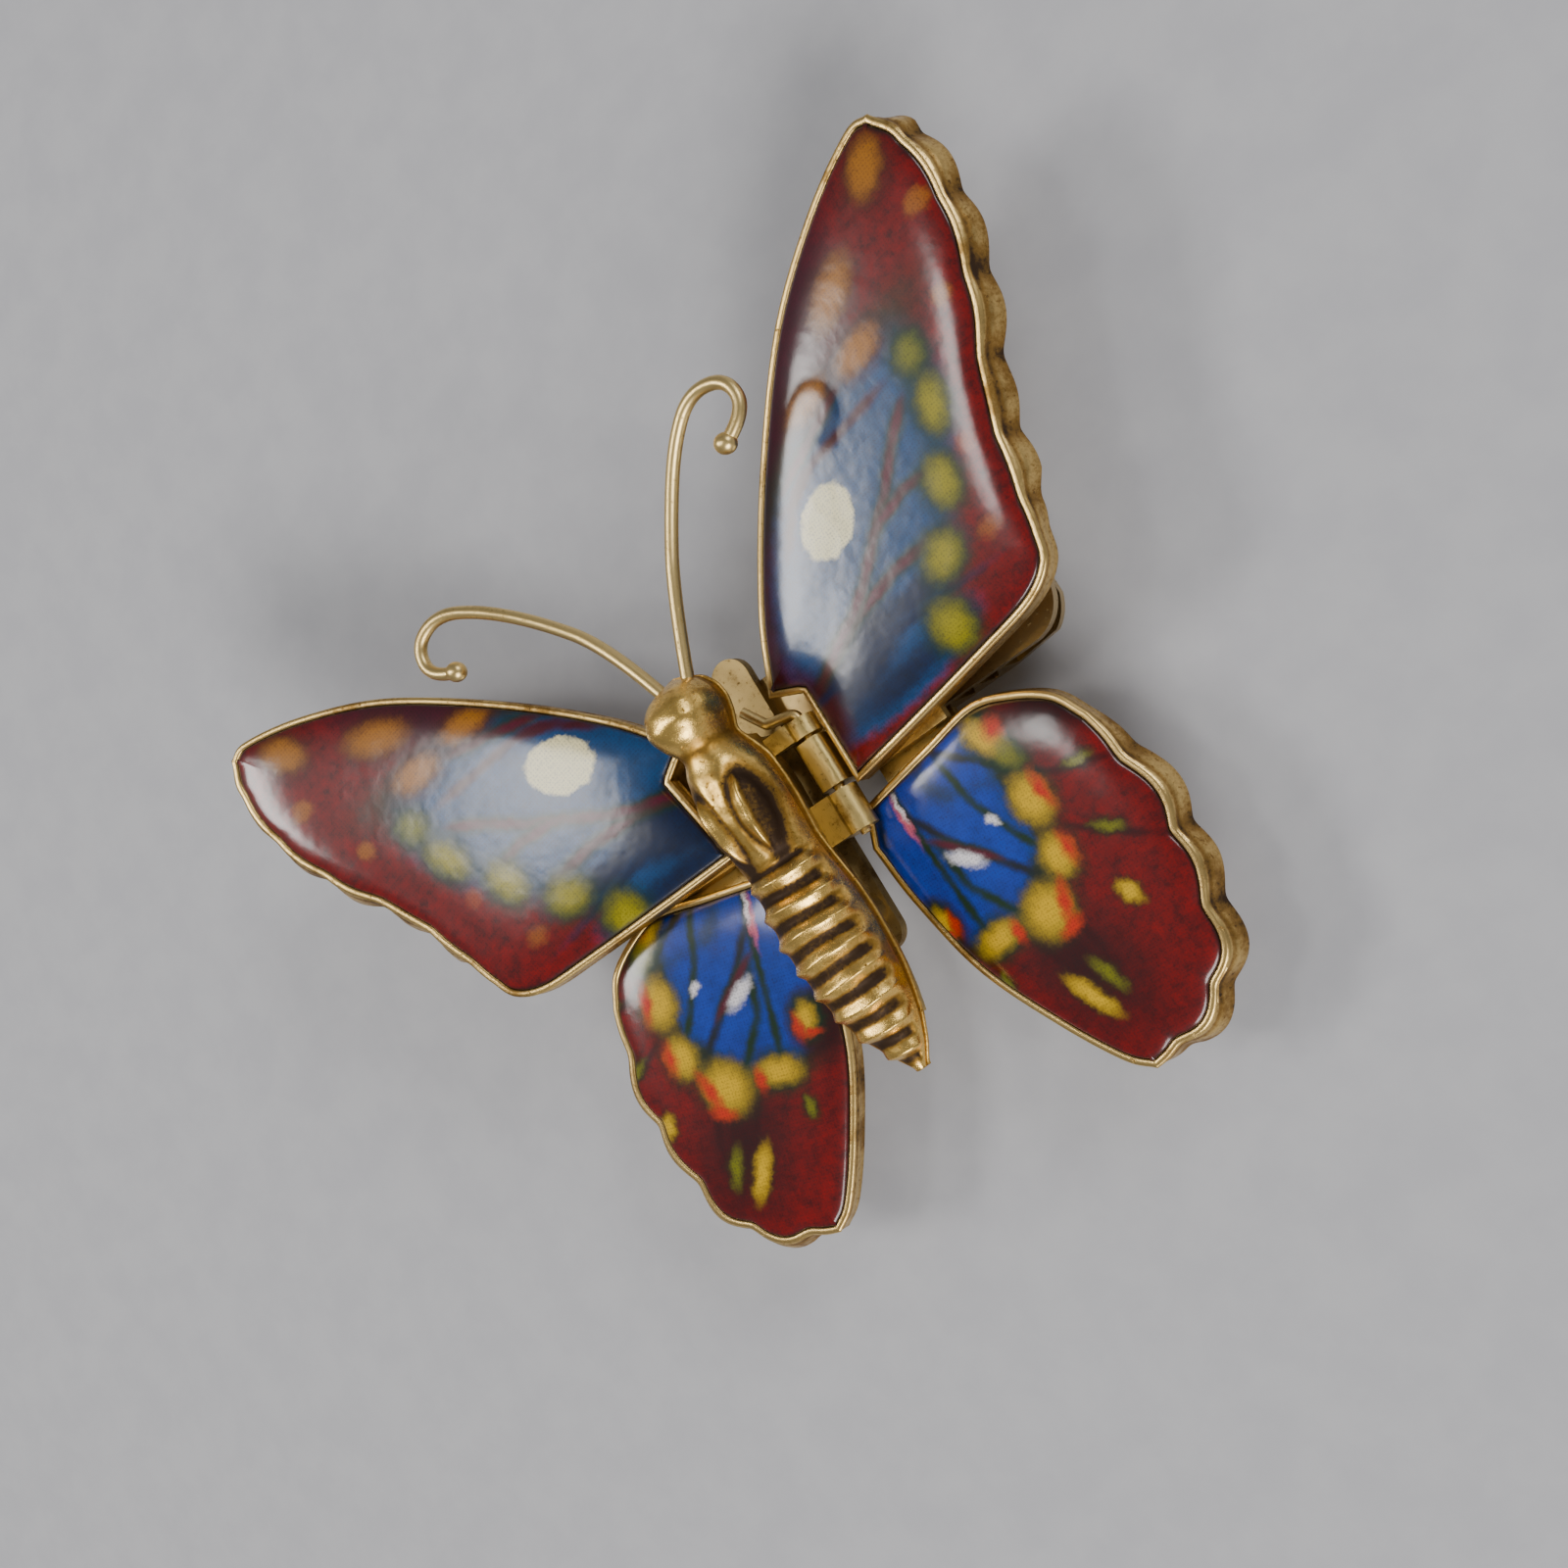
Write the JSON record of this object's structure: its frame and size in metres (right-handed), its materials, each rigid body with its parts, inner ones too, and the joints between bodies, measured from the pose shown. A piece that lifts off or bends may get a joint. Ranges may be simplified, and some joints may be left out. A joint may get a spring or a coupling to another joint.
{
  "type": "butterfly hair pin",
  "caption": "Decorative butterfly hair pin: brass body with hinged, printed and domed wings on a small spring hair clip.",
  "frame": {"origin": "on the flat underside of the clip's lower jaw, on the butterfly's middle plane and on the clip's centre line", "axes": "+X to the butterfly's right, along the clip towards its nose; +Y towards the butterfly's head; +Z out of its decorated front"},
  "size_m": [0.0378, 0.0313, 0.0094],
  "materials": {
    "antique_brass": "antiqued, rubbed back on the high points",
    "forewing_print": "halftone butterfly print under gloss varnish",
    "hindwing_print": "halftone butterfly print under gloss varnish",
    "backing_card": "plain card",
    "clip_steel": "brass plated",
    "spring_steel": "bright wire"
  },
  "bodies": {
    "body": {"body_shell": "antique_brass", "base_plate": "antique_brass", "antenna_left": "antique_brass", "antenna_right": "antique_brass", "hinge_pin_left": "antique_brass", "hinge_pin_right": "antique_brass", "front_post": "antique_brass", "rear_post": "antique_brass", "mounting_strap": "antique_brass", "clip_upper_jaw": "clip_steel", "clip_pivot_pin": "clip_steel", "clip_spring_coil": "spring_steel"},
    "wing_left": {"wing_leaf_left": "antique_brass", "forewing_tray_left": "antique_brass", "hindwing_tray_left": "antique_brass", "forewing_backing_left": "backing_card", "hindwing_backing_left": "backing_card", "forewing_inlay_left": "forewing_print", "hindwing_inlay_left": "hindwing_print"},
    "wing_right": {"wing_leaf_right": "antique_brass", "forewing_tray_right": "antique_brass", "hindwing_tray_right": "antique_brass", "forewing_backing_right": "backing_card", "hindwing_backing_right": "backing_card", "forewing_inlay_right": "forewing_print", "hindwing_inlay_right": "hindwing_print"},
    "clip_jaw": {"clip_lower_jaw": "clip_steel", "clip_spring_leg": "spring_steel"}
  },
  "joints": [
    {"name": "wing_hinge_left", "type": "hinge", "parent": "body", "child": "wing_left", "pos_m": [-0.0021, -0.00185, 0.00443], "axis": [0, 1, 0], "range_deg": [0, 60]},
    {"name": "wing_hinge_right", "type": "hinge", "parent": "body", "child": "wing_right", "pos_m": [0.0021, -0.00185, 0.00443], "axis": [0, -1, 0], "range_deg": [0, 20]},
    {"name": "clip_jaw_hinge", "type": "hinge", "parent": "body", "child": "clip_jaw", "pos_m": [-0.0045, 0, 0.0014], "axis": [0, 1, 0], "range_deg": [0, 20], "stiffness_Nm_per_rad": 0.003, "springref_deg": -68.75}
  ]
}
